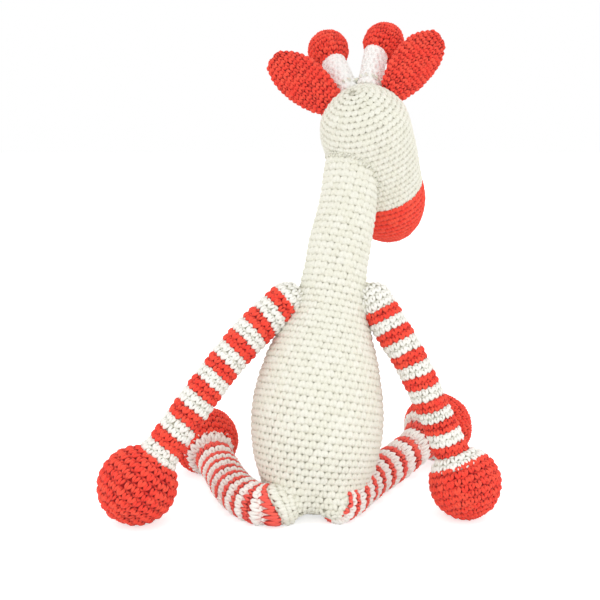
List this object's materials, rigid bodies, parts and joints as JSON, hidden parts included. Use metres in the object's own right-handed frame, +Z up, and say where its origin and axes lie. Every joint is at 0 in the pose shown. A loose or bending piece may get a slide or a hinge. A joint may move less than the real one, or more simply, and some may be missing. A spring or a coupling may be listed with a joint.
{
  "type": "plush giraffe",
  "caption": "Crocheted giraffe that sits with legs apart and hands on the floor; long neck, striped limbs, ball hands, feet and horn tips; its head, ears, arms and legs turn.",
  "frame": {"origin": "middle of the flat of the seat, on the floor", "axes": "+Z up, -Y the way the giraffe's body faces, +X its own left"},
  "size_m": [0.2869, 0.1899, 0.3589],
  "materials": {
    "cream_yarn": "cream cotton yarn in single crochet, matt",
    "red_yarn": "coral red cotton yarn in single crochet, matt",
    "eye_black": "black, glossy"
  },
  "bodies": {
    "body": {"body": "cream_yarn"},
    "head": {"head": "cream_yarn", "muzzle": "red_yarn", "horn_stalk_left": "cream_yarn", "horn_stalk_right": "cream_yarn", "horn_knob_left": "red_yarn", "horn_knob_right": "red_yarn", "eye_left": "eye_black", "eye_right": "eye_black"},
    "ear_left": {"ear_left": "red_yarn"},
    "ear_right": {"ear_right": "red_yarn"},
    "arm_left": {"arm_left": "cream_yarn", "hand_left": "red_yarn"},
    "arm_right": {"arm_right": "cream_yarn", "hand_right": "red_yarn"},
    "leg_left": {"leg_left": "cream_yarn", "foot_left": "red_yarn"},
    "leg_right": {"leg_right": "cream_yarn", "foot_right": "red_yarn"}
  },
  "joints": [
    {"name": "head_turn", "type": "hinge", "parent": "body", "child": "head", "pos_m": [-0.02882, -0.06615, 0.25021], "axis": [-0.1118, -0.2565, 0.9601], "range_deg": [-25, 25]},
    {"name": "ear_left_flap", "type": "hinge", "parent": "head", "child": "ear_left", "pos_m": [-0.01197, -0.0747, 0.29716], "axis": [-0.5309, 0.1477, 0.8344], "range_deg": [-20, 20]},
    {"name": "ear_right_flap", "type": "hinge", "parent": "head", "child": "ear_right", "pos_m": [-0.06026, -0.07149, 0.30668], "axis": [0.6572, 0.1846, 0.7307], "range_deg": [-20, 20]},
    {"name": "shoulder_left", "type": "hinge", "parent": "body", "child": "arm_left", "pos_m": [0.01833, -0.0307, 0.14775], "axis": [0, -1, 0], "range_deg": [0, 80]},
    {"name": "shoulder_right", "type": "hinge", "parent": "body", "child": "arm_right", "pos_m": [-0.04307, -0.03417, 0.1485], "axis": [0, 1, 0], "range_deg": [0, 80]},
    {"name": "hip_left", "type": "hinge", "parent": "body", "child": "leg_left", "pos_m": [0.0194, 0.02619, 0.014], "axis": [0, 0, 1], "range_deg": [0, 20]},
    {"name": "hip_right", "type": "hinge", "parent": "body", "child": "leg_right", "pos_m": [-0.01455, 0.02619, 0.014], "axis": [0, 0, -1], "range_deg": [0, 20]}
  ]
}
